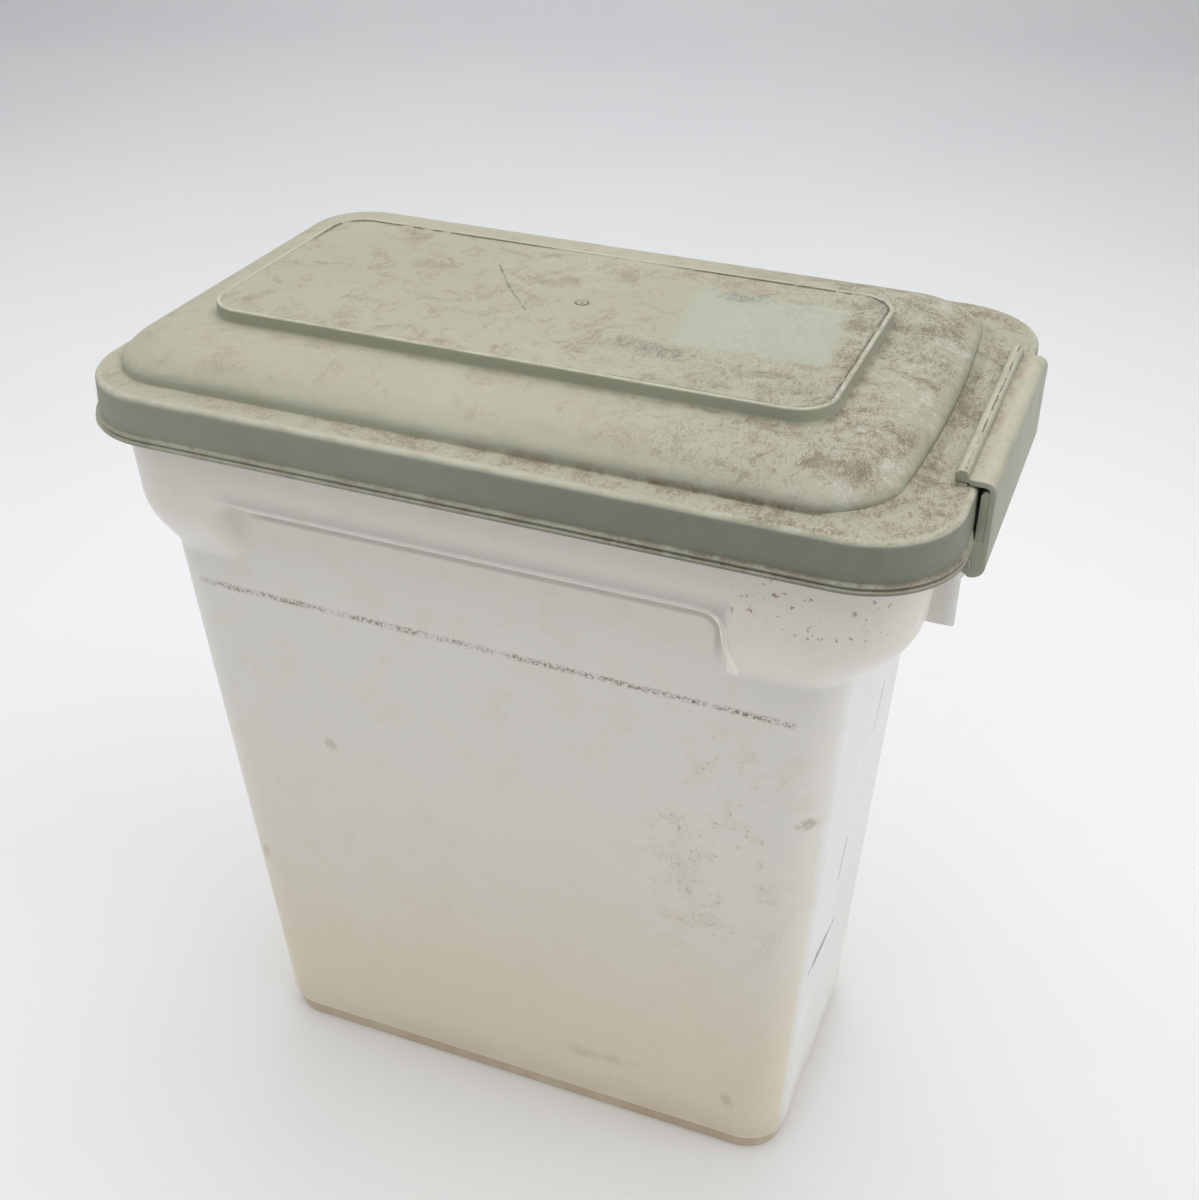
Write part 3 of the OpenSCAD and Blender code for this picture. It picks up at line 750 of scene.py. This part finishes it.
def build_tub():
    fx, fy, fr = BODY_HX - FOOT_IN, BODY_HY - FOOT_IN, BODY_R - FOOT_IN
    rings = []
    # Underside, from its middle out to the foot ring
    for k in (0.1, 0.4, 0.7, 0.93, 1.0):
        rings.append(plain_ring(6.0, BODY_CX, *between((80, 6, 4), (fx - 5, fy - 5, fr - 5), k)))
    for z, inset in ((5.2, 4.2), (0.6, 4.0), (0.0, 3.4), (0.0, 0.9), (0.25, 0.35), (0.9, 0.0)):
        rings.append(plain_ring(z, BODY_CX, fx - inset, fy - inset, fr - inset))
    for z, inset in ((4.0, -0.1), (7.6, -0.15), (8.5, -0.1), (8.9, -0.2)):
        rings.append(plain_ring(z, BODY_CX, fx - inset, fy - inset, fr - inset))
    # Outside wall
    steps = [(9.3, 1.2), (9.8, 0.6), (10.6, 0.1), (11.8, -0.3), (13.6, -0.5), (17.0, -0.45)]
    for z, inset in steps + [(26.0, 0.0)]:
        rings.append(tub_ring(z, inset))
    outer = list(np.linspace(40, FUNNEL_Z - 7, 22))
    outer += list(np.linspace(FUNNEL_Z - 3, 370, 30))
    outer += list(np.linspace(370.7, 386, 46))
    outer += list(np.linspace(387, 392, 4))
    outer += list(np.linspace(394, 421, 8))
    for z in outer:
        rings.append(tub_ring(z, 0.0))
    # Rim lip
    steps = [(424.6, 0.1), (425.2, 1.2), (426.0, 1.9), (427.2, 2.05), (428.6, 1.8)]
    for z, out in steps + [(429.3, 1.0), (429.5, 0.2)]:
        rings.append(tub_ring(RIM_Z, -out, z))
    for z, inset in ((429.5, 1.4), (429.2, 2.0), (428.4, 2.4)):
        rings.append(tub_ring(RIM_Z, inset, z))
    # Inside wall and floor
    for z in [z for z in outer if z > 40][::-1]:
        rings.append(tub_ring(z, WALL))
    for z, inset in ((26, 2.5), (16, 2.6), (12.6, 3.2), (10.6, 4.6), (9.3, 7.0), (9.0, 9.0)):
        rings.append(tub_ring(z, inset))
    cx, hx, hy, r = tub_outline(9.0)
    for k in (0.12, 0.4, 0.8):
        rings.append(plain_ring(9.0, cx, *between((hx - 9, hy - 9, r - 9), (80, 4, 3), k)))
    parts = [loft(rings)]

    def wall_x(z, side):
        """Half length of the wall at height z, to the latch end (1) or the other (-1)."""
        cx, hx, _, _ = tub_outline(z)
        return hx + cx * side

    # Clear ears for the latch's pins
    ear_z, nose = LATCH_PIN[2], 4.2
    foot_z, top_z = ear_z - 31, ear_z + nose
    free = 206.4
    outline = [(wall_x(z, 1) - 1.2, z) for z in np.linspace(top_z, foot_z, 8)]
    outline += [(free - 1.2, foot_z)] + arc2(free - 1.2, foot_z + 1.2, 1.2, -90, 0, 4)[1:]
    outline += [(free, ear_z - nose - 2.4)]
    outline += arc2(LATCH_PIN[0], ear_z, nose, -25, 90, 10)
    for y0 in (LATCH_HI.y + 0.5, -LATCH_HI.y - 3.0):
        parts.append(plate_along_y(outline, y0, y0 + 2.5, 0.5))
    # Ears for the lid's pins
    pin_z, nose = LID_PIN[2], 4.3
    foot_z, top_z = pin_z - 28, pin_z + nose
    free = LID_PIN[0] - nose
    outline = [(-wall_x(z, -1) + 1.2, z) for z in np.linspace(foot_z, top_z, 8)]
    outline += arc2(LID_PIN[0], pin_z, nose, 90, 180, 8)
    outline += arc2(free + 1.5, foot_z + 1.5, 1.5, 180, 270, 4)
    for y0 in (70.0, -73.0):
        parts.append(plate_along_y(outline, y0, y0 + 3.0, 0.5))
    obj = make_object("tub_shell", *join(parts), TUB_MAT)
    # Marks for the material: the clear ears, and the recess's ledge roll that gets a painted
    # highlight
    clear = obj.data.attributes.new("clear", "FLOAT", "POINT")
    ledge = obj.data.attributes.new("ledge", "FLOAT", "POINT")
    for i, v in enumerate(obj.data.vertices):
        x, y, z = v.co.x / MM, abs(v.co.y) / MM, v.co.z / MM
        ear = x > tub_outline(min(z, RIM_Z))[1] + 0.1 and LATCH_HI.y < y < LATCH_HI.y + 3.6
        clear.data[i].value = 1.0 if ear else 0.0
        qx = abs(x - RECESS_CX) - (RECESS_HALF - RECESS_R)
        qz = z - (RECESS_TOP - RECESS_R)
        rho = math.hypot(max(qx, 0), max(qz, 0)) + min(max(qx, qz), 0) - RECESS_R
        near = y > 60 and z > FUNNEL_Z and -1.0 < rho < LEDGE_ROLL * 0.9
        near = near and x > RECESS_CX - RECESS_HALF + 6
        ledge.data[i].value = 1.0 if near else 0.0
    return obj


# ---------------------------- lid

LID_XS = np.linspace(-1, 1, 41)


def lid_ring(z, cx, hx, hy, r, bow=0.0):
    """One ring of the lid. bow curves the latch end, by that much at its corners."""
    pts, _ = ring_points(cx, hx, hy, r, cx + LID_XS * (hx - r), steps_y=26)
    right = pts[:, 0] > cx + hx - r - 0.01
    k = np.clip(np.abs(pts[:, 1]) / hy, 0, 1)
    pts[right, 0] -= bow * k[right] ** 2
    return np.c_[pts, np.full(len(pts), z)]


def dome_height(k):
    """Height of the dome, k from 0 at the crease to 1 at the plateau."""
    return FLANGE_Z + (DOME_Z - FLANGE_Z) * (1 - (1 - k) ** 3.6) ** 0.54


def build_lid():
    rings, grime, wear_and_painted_light, flange, lip_dirt = [], [], [], [], []

    def put(z, cx, hx, hy, r, bow=0.0, g=0.0, w=0.0, f=0.0, groove=0.0):
        rings.append(lid_ring(z, cx, hx, hy, r, bow))
        grime.append(g)
        wear_and_painted_light.append(w)
        flange.append(f)
        lip_dirt.append(groove)

    def full(inset):
        return 0.0, LID_HX - inset, LID_HI.y - inset, LID_R - inset

    def rim(z, inset, **kw):
        put(z, *full(inset), **kw)
        if inset < SKIRT_IN:
            # The bead stops at the latch, so the skirt is plain behind it
            plain = lid_ring(z, *full(SKIRT_IN))
            ring = rings[-1]
            behind = (ring[:, 0] > 0) & (np.abs(ring[:, 1]) < LATCH_HI.y + 2.5)
            ring[behind] = plain[behind]

    def dome_ring(z, k, **kw):
        """k from 0 at the crease to 1 at the plateau's foot."""
        put(z, *between(DOME_BASE, DOME_TOP, k), bow=mix(DOME_BOW, 0.0, k), **kw)

    # Bottom bead with its double line, skirt and top edge
    rim(SKIRT_Z0, 1.6)
    rim(411.85, 0.9)
    rim(412.1, 0.3, w=0.6)
    rim(412.6, 0.0, w=1.0)
    rim(413.3, 0.0, w=1.0)
    rim(413.8, 0.3, w=0.5)
    rim(414.1, 1.1, g=1.0)
    rim(414.5, 1.15, g=1.0)
    rim(414.9, 0.6, w=0.5)
    rim(415.5, 0.5, w=0.8)
    rim(416.0, 0.9)
    rim(416.4, 1.8, g=0.7)
    rim(417.0, SKIRT_IN, g=0.5)
    for z in (418.5, 421, 424, 427, 430, 431.6):
        rim(z, 2.1 + (z - 418) * 0.03)
    for a in np.linspace(0, 90, 9)[1:]:
        c, s = math.cos(math.radians(a)), math.sin(math.radians(a))
        rim(432.3 + 3.2 * s, 2.5 + 3.2 * (1 - c), w=float(math.sin(math.radians(2 * a))))
    # Flat flange to the crease
    for k in (0.15, 0.35, 0.55, 0.75, 0.9):
        outline = between(full(5.7), DOME_BASE, k)
        put(FLANGE_Z, *outline, bow=DOME_BOW * k, f=1.0, g=0.6 * k**4)
    # Dome
    dome_ring(FLANGE_Z, -0.012, g=1.0, f=1.0)
    dome_ring(FLANGE_Z, 0.0, g=1.0, f=0.8)
    dome_ring(FLANGE_Z + 0.35, 0.004, g=1.0, f=0.4)
    steps = [0.012, 0.025, 0.045, 0.07, 0.1, 0.14, 0.19, 0.25, 0.32]
    for k in steps + [0.4, 0.5, 0.6, 0.7, 0.8, 0.9, 0.96]:
        z = max(dome_height(k), FLANGE_Z + 0.6)
        # Painted light: a lighter band low on the dome's side, stored with the wear marks
        painted_light_band = 0.45 * math.exp(-(((k - 0.07) / 0.06) ** 2))
        dirt = max(0.0, 1 - k / 0.03) + max(0.0, (k - 0.93) / 0.05) * 0.3
        dome_ring(z, k, g=dirt, w=painted_light_band)
    dome_ring(DOME_Z, 0.985, g=0.35)

    def plateau(z, inset, **kw):
        cx, hx, hy, r = PLATEAU
        put(z, cx, hx - inset, hy - inset, r - inset, **kw)

    # Plateau with its lip and the groove inside it
    plateau(DOME_Z + 0.1, -0.3, g=0.45)
    plateau(DOME_Z + 0.45, 0.0)
    for z in (451.2, 452.6, 454.2, 455.6):
        plateau(z, 0.05 + (z - 449) * 0.04)
    for a in (20, 42, 65, 90):
        c, s = math.cos(math.radians(a)), math.sin(math.radians(a))
        plateau(455.9 + 0.6 * s, 0.35 + 0.6 * (1 - c), w=0.9)
    plateau(TOP_Z, 1.6, w=0.7)
    plateau(TOP_Z - 0.02, 2.3, w=0.5, groove=0.2)
    plateau(TOP_Z - 0.15, 2.6, groove=0.8)
    plateau(TOP_Z - 0.42, 2.8, groove=1.0)
    plateau(TOP_Z - 0.5, 3.1, groove=1.0)
    plateau(TOP_Z - 0.5, 3.9, groove=0.3)
    plateau(TOP_Z - 0.5, 4.8)
    for k in (0.12, 0.25, 0.4, 0.55, 0.7, 0.85, 1.0):
        outline = between((149.5, 67.0, 14.5), (84.5, 2.0, 1.2), k)
        put(TOP_Z - 0.5 + 0.1 * k, PLATEAU[0], *outline)
    top_count = len(rings)
    # Inside, from the middle of the plateau back to the skirt
    under = TOP_Z - 3.2
    for k in (1.0, 0.6, 0.2, 0.0):
        put(under, PLATEAU[0], *between((150.5, 68.0, 15.5), (84.5, 2.0, 1.2), k))
    plateau(under - 0.6, 2.55)
    plateau(449.0, 2.7)
    for k in (0.97, 0.9, 0.75, 0.6, 0.45, 0.3, 0.2, 0.12, 0.06):
        z = max(dome_height(k) - 2.6, 433.2)
        put(z, *between(INNER_BASE, INNER_TOP, k), bow=mix(DOME_BOW, 0.0, k))
    # The groove's inner rib
    rib_x, rib_y = SEAL_HI.x - SEAL_W - 0.4, SEAL_HI.y - SEAL_W - 0.4
    rib_r = rib_y - (LID_HI.y - LID_R)
    steps = [(433.0, 2.6), (432.6, 2.2), (431.0, 2.0), (430.8, 1.6), (430.8, 0.4)]
    for z, inset in steps + [(431.0, 0.1), (433.0, 0.0)]:
        put(z, 0.0, rib_x - inset, rib_y - inset, rib_r - inset)
    # Inside of the skirt
    steps = [(433.0, 6.4), (432.6, 6.05), (430.0, 5.8), (420.0, 5.6), (413.5, 5.4)]
    for z, inset in steps + [(412.2, 5.0), (SKIRT_Z0, 4.4)]:
        rim(z, inset)
    verts, faces = loft(rings, caps=False)
    n = len(rings[0])
    middle = top_count - 1
    # The top and the underside end in small caps; the last ring meets the first
    faces = [f for i, f in enumerate(faces) if i // n != middle]
    faces.append(tuple(middle * n + i for i in range(n)))
    faces.append(tuple((middle + 1) * n + i for i in range(n))[::-1])
    end = (len(rings) - 1) * n
    faces += [(end + i, end + (i + 1) % n, (i + 1) % n, i) for i in range(n)]
    values = [np.repeat(v, n) for v in (grime, wear_and_painted_light, flange, lip_dirt)]
    parts = [(verts, faces)]
    # Catch strip under the latch's hump
    strip = [(197.6, 435.2), (197.6, 436.2), (197.9, 436.5)]
    strip += [(202.5, 436.5), (202.8, 436.2), (202.8, 435.2)]
    parts.append(plate_along_y(strip[::-1], LATCH_LO.y - 0.8, LATCH_HI.y + 0.8, 0.2))
    # Small round moulding mark on the plateau
    turn = np.linspace(0, 2 * math.pi, 28, endpoint=False)
    mark = []
    steps = [(3.3, -0.3), (3.1, 0.15), (2.7, 0.25), (2.2, 0.2), (1.9, -0.02), (0.9, -0.02)]
    for r, z in steps + [(0.6, 0.2), (0.2, 0.22)]:
        level = np.full(len(turn), TOP_Z - 0.45 + z)
        mark.append(np.c_[-2 + r * np.cos(turn), 5 + r * np.sin(turn), level])
    parts.append(loft(mark))
    # Hinge knuckles
    px, pz, r = LID_PIN[0], LID_PIN[2], 4.3
    knuckle = arc2(px, pz, r, 180, 360, 16)[1:]
    knuckle += [(px + 5.0, pz + 3.0), (px + 6.6, pz + 8.6)]
    knuckle += [(px - 2.6, pz + 8.6), (px - r, pz + 2.5)]
    shells = [plate_along_y(knuckle, y0, y0 + 12.0, 0.5) for y0 in (57.5, -69.5)]
    obj = make_object("lid_shell", *join(parts), LID_MAT)
    # Marks for the material, carried over to the cleaned mesh by position
    mesh = obj.data
    names = ("grime", "wear_and_painted_light", "flange", "lip_dirt")
    lookup = {}
    for i, v in enumerate(np.round(verts, 4)):
        lookup.setdefault(tuple(v), i)
    co = np.zeros(len(mesh.vertices) * 3, np.float32)
    mesh.vertices.foreach_get("co", co)
    co = np.round(co.reshape(-1, 3).astype(float) / MM, 4)
    for name, vals in zip(names, values):
        layer = mesh.attributes.new(name, "FLOAT", "POINT")
        out = np.zeros(len(co), np.float32)
        for i, v in enumerate(co):
            j = lookup.get(tuple(v))
            if j is not None:
                out[i] = vals[j]
        layer.data.foreach_set("value", out)
    knuckles = make_object("lid_knuckles", *join(shells), LID_MAT)
    bore = make_object("bore", *rod_along_y(px, pz, BORE_R), LID_MAT)
    boolean(knuckles, bore, "DIFFERENCE")
    return obj, knuckles


# ---------------------------- latch


def build_latch():
    outer_x, bottom, top, t = LATCH_HI.x, LATCH_LO.z, LATCH_TOP, LATCH_T
    # Section: hump, top plate, outer plate, bottom hook, and back along the inside
    cx, cz, cr = outer_x - 5.2, top - 5.2, 5.2
    bx, bz, br = outer_x - 6.0, bottom + 6.0, 6.0
    hump_x, hump_z, hr = 200.2, LATCH_HI.z - 3.0, 3.0
    path = [(hump_x - hr + 0.3, 436.8), (hump_x - hr, 437.1)]
    path += arc2(hump_x, hump_z, hr, 180, 12, 16)
    path += [(hump_x + hr + 0.25, top + 0.35), (hump_x + hr + 0.7, top + 0.05)]
    path += [(hump_x + hr + 1.6, top)]
    path += arc2(cx, cz, cr, 90, 0, 12)
    path += arc2(bx, bz, br, 0, -90, 12)
    path += arc2(bx - 0.6, bottom + t / 2, t / 2, -90, -270, 8)
    path += arc2(bx, bz, br - t, -90, 0, 10)
    path += arc2(cx, cz, cr - t, 0, 90, 8)
    path += [(203.6, 435.9), (203.45, 436.1), (203.4, 436.8)]
    body = plate_along_y(path[::-1], LATCH_LO.y, LATCH_HI.y, 0.45)
    obj = make_object("latch_clip", *body, LATCH_MAT)
    # Lugs on the pins, and a rib at each end
    px, pz, r = LATCH_PIN[0], LATCH_PIN[2], 4.0
    web_top = SKIRT_Z0 - 0.9
    lug = arc2(px, pz, r, 125, 250, 14)
    lug += [(bx - 0.5, bottom + 0.5), (bx, bottom + 0.5)]
    lug += arc2(bx, bz, br - 0.5, -80, 0, 6)
    lug += [(outer_x - 0.5, web_top), (px - 1.8, web_top), (px - 2.2, web_top - 0.6)]
    starts = (LATCH_LO.y + 0.1, LATCH_HI.y - (LUG_W + 0.1))
    lugs = [plate_along_y(lug, y0, y0 + LUG_W, 0.3) for y0 in starts]
    boolean(obj, make_object("lugs", *join(lugs), LATCH_MAT), "UNION")
    inner_x, back_x = LID_HX - SKIRT_IN + 1.3, outer_x - t + 0.6
    rib = [(inner_x, 406.0), (back_x, 406.0), (back_x, 433.8)]
    rib += [(inner_x + 1.2, 433.8), (inner_x, 432.0)]
    starts = (LATCH_LO.y + 0.5, LATCH_HI.y - 2.9)
    ribs = [plate_along_y(rib, y0, y0 + 2.4, 0.2) for y0 in starts]
    boolean(obj, make_object("ribs", *join(ribs), LATCH_MAT), "UNION")
    boolean(obj, make_object("bore", *rod_along_y(px, pz, BORE_R), LATCH_MAT), "DIFFERENCE")
    for p in obj.data.polygons:
        p.use_smooth = True
    obj.data.set_sharp_from_angle(angle=math.radians(32))
    return obj


# ---------------------------- seal


def build_seal():
    hx, hy = SEAL_HI.x, SEAL_HI.y
    r = hy - (LID_HI.y - LID_R)
    z0, w, h = SEAL_LO.z, SEAL_W, SEAL_HI.z - SEAL_LO.z
    profile = [(0.0, 1.0), (0.0, 2.4), (0.5, h), (w - 0.5, h), (w, 2.4), (w, 1.0), (w - 0.4, 0.35)]
    profile += [(w - 1.2, 0.0), (w - 2.2, 0.4), (w / 2, 0.7), (2.2, 0.4), (1.2, 0.0), (0.4, 0.35)]
    rings = [lid_ring(z0 + z, 0.0, hx - i, hy - i, r - i) for i, z in profile]
    return make_object("lid_seal", *loft(rings, wrap=True), SEAL_MAT, sharp=50)


tub = build_tub()
lid, knuckles = build_lid()
latch = build_latch()
seal = build_seal()
for obj, body, node, slot in (
    (tub, "tub", "tub", "tub_plastic"),
    (lid, "lid", "lid", "lid_plastic"),
    (latch, "latch", "latch", "latch_plastic"),
    (seal, "lid", "seal", "seal_rubber"),
):
    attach(obj, body)
    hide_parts(node)
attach(knuckles, "lid")
for node in ("latch_pins", "lid_pins"):
    for s in frame["nodes"][node].material_slots:
        s.material = STEEL_MAT

# ---------------------------- stage


def build_stage():
    n = Nodes("studio_sweep")
    tone = n.noise(1.5, 3, 0.5, 51.0)
    colour = n.mixc(n.band(tone, 0.3, 0.7), (0.93, 0.935, 0.945), (0.90, 0.905, 0.92))
    normal = n.bump(n.noise(40, 3, 0.5, 52.0), 0.02, 0.002)
    # The paper stays pale where the lamps don't reach, behind and beside the camera
    dim = n.math("MAXIMUM", n.band(n.y, -1.0, -2.6), n.band(n.math("ABSOLUTE", n.x), 1.5, 3.2))
    paper = {"Base_Color": colour, "Roughness": 0.65, "Normal": normal}
    glow = {"Emission_Color": colour, "Emission_Strength": n.mul(dim, 0.42)}
    mat = n.finish(n.principled(**paper, **glow))
    depth, radius, height, half = 3.2, 0.6, 3.5, 4.5
    path = [(-4.5, 0.0), (-1.0, 0.0), (depth - radius, 0.0)]
    path += [
        (depth - radius + radius * math.sin(a), radius - radius * math.cos(a))
        for a in np.linspace(0, math.pi / 2, 24)[1:]
    ]
    path += [(depth, 1.5), (depth, height)]
    verts, faces = [], []
    for y, z in path:
        verts += [(-half, y, z), (half, y, z)]
    for i in range(len(path) - 1):
        faces.append((2 * i, 2 * i + 1, 2 * i + 3, 2 * i + 2))
    mesh = bpy.data.meshes.new("sweep")
    mesh.from_pydata(verts, [], faces)
    for p in mesh.polygons:
        p.use_smooth = True
    mesh.materials.append(mat)
    obj = bpy.data.objects.new("sweep", mesh)
    bpy.context.scene.collection.objects.link(obj)
    obj.rotation_euler = (0, 0, math.radians(CAM_AZ))


def area_light(name, where, aim, size, power, colour):
    light = bpy.data.lights.new(name, "AREA")
    light.energy = power
    light.color = colour
    light.size = size
    obj = bpy.data.objects.new(name, light)
    obj.location = where
    obj.rotation_mode = "QUATERNION"
    obj.visible_camera = False
    obj.rotation_quaternion = (Vector(aim) - Vector(where)).to_track_quat("-Z", "Y")
    bpy.context.scene.collection.objects.link(obj)


# Camera: the photograph's viewing direction, roll, distance and lens
CAM_AZ, CAM_EL, CAM_ROLL = 20.87, 31.9, 1.07
CAM_TARGET = Vector((0, 0, 0.22))
CAM_SHIFT = Vector((-0.0122, 0.05862, 0.91693))
CAM_LENS = 1637.09 / 1200 * 36


def build_camera():
    az, el, roll = (math.radians(v) for v in (CAM_AZ, CAM_EL, CAM_ROLL))
    back = Vector((math.sin(az) * math.cos(el), -math.cos(az) * math.cos(el), math.sin(el)))
    forward = -back
    right = Vector((math.cos(az), math.sin(az), 0))
    down = forward.cross(right)
    cam_right = math.cos(roll) * right - math.sin(roll) * down
    cam_down = math.sin(roll) * right + math.cos(roll) * down
    place = CAM_TARGET - (
        cam_right * CAM_SHIFT.x + cam_down * CAM_SHIFT.y + forward * CAM_SHIFT.z
    )
    cam = bpy.data.cameras.new("camera")
    cam.lens = CAM_LENS
    cam.sensor_width = 36
    cam.clip_start, cam.clip_end = 0.01, 50
    obj = bpy.data.objects.new("camera", cam)
    basis = Matrix((cam_right, -cam_down, back)).transposed().to_4x4()
    obj.matrix_world = Matrix.Translation(place) @ basis
    bpy.context.scene.collection.objects.link(obj)
    bpy.context.scene.camera = obj


build_stage()
build_camera()
area_light("overhead", (0.06, -0.12, 1.75), (0, -0.03, 0.2), 2.4, 30.5, (1.0, 0.995, 0.985))
area_light("backdrop", (-0.68, 1.77, 1.9), (-0.68, 1.77, 0.0), 2.0, 11, (0.985, 0.99, 1.0))
area_light("right_side", (2.1, 0.2, 0.75), (0, 0, 0.25), 1.3, 8.6, (1.0, 1.0, 1.0))
area_light("left_fill", (-1.9, -0.3, 0.9), (0, 0, 0.25), 1.2, 3.5, (1.0, 1.0, 1.0))

world = bpy.data.worlds.new("studio")
world.use_nodes = True
background = world.node_tree.nodes["Background"]
background.inputs["Color"].default_value = (0.96, 0.98, 1.0, 1)
background.inputs["Strength"].default_value = 0.19
bpy.context.scene.world = world
bpy.context.scene.view_settings.view_transform = "Standard"
